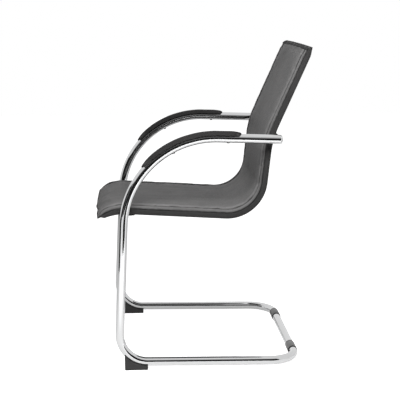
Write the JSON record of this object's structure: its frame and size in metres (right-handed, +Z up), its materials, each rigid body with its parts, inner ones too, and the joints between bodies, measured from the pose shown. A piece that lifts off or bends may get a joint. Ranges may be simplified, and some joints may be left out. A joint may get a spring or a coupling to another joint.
{
  "type": "cantilever chair",
  "caption": "Cantilever visitor chair: bent chromed tube side frames joined at the rear of the floor loop carry a one-piece upholstered seat and back shell, with padded arms.",
  "frame": {"origin": "centre of the chair's footprint on the floor, under the middle of its bounding box", "axes": "+Z up, +X to the sitter's left, +Y to the rear; the sitter faces -Y"},
  "size_m": [0.58, 0.6038, 0.9057],
  "materials": {
    "tube_chrome": "bright polished chrome plate on welded steel tube",
    "end_cap": "smooth light grey moulded plug",
    "sleeve_plastic": "satin dark grey moulded sleeve",
    "foot_plastic": "matt black moulded glide",
    "pad_base_plastic": "matt black moulded saddle",
    "pad_cover": "black grained leatherette",
    "foam": "open-cell upholstery foam",
    "plywood": "moulded beech plywood",
    "cover_leatherette": "dark grey fine-grained leatherette, stitched",
    "band_leatherette": "dark grey leatherette side band",
    "hem_leatherette": "black folded leatherette hem",
    "zinc_fasteners": "zinc-plated steel"
  },
  "bodies": {
    "root": {"arm_pad_screws": "zinc_fasteners", "back_foam": "foam", "centre_cover_panel": "cover_leatherette", "floor_connector_tube": "tube_chrome", "floor_joint_screws": "zinc_fasteners", "front_foot_screws": "zinc_fasteners", "front_hem": "hem_leatherette", "left_arm_end_cap": "end_cap", "left_arm_pad_base": "pad_base_plastic", "left_arm_pad_cover": "pad_cover", "left_arm_pad_foam": "foam", "left_back_bracket": "tube_chrome", "left_cover_panel": "cover_leatherette", "left_floor_sleeve": "sleeve_plastic", "left_front_foot": "foot_plastic", "left_seat_bracket": "tube_chrome", "left_side_band": "band_leatherette", "left_side_frame": "tube_chrome", "plywood_shell": "plywood", "rear_cover_panel": "cover_leatherette", "rear_padding": "foam", "right_arm_end_cap": "end_cap", "right_arm_pad_base": "pad_base_plastic", "right_arm_pad_cover": "pad_cover", "right_arm_pad_foam": "foam", "right_back_bracket": "tube_chrome", "right_cover_panel": "cover_leatherette", "right_floor_sleeve": "sleeve_plastic", "right_front_foot": "foot_plastic", "right_seat_bracket": "tube_chrome", "right_side_band": "band_leatherette", "right_side_frame": "tube_chrome", "seat_foam": "foam", "shell_bolts": "zinc_fasteners", "shell_tee_nuts": "zinc_fasteners", "shell_washers": "zinc_fasteners", "top_hem": "hem_leatherette"}
  },
  "joints": []
}
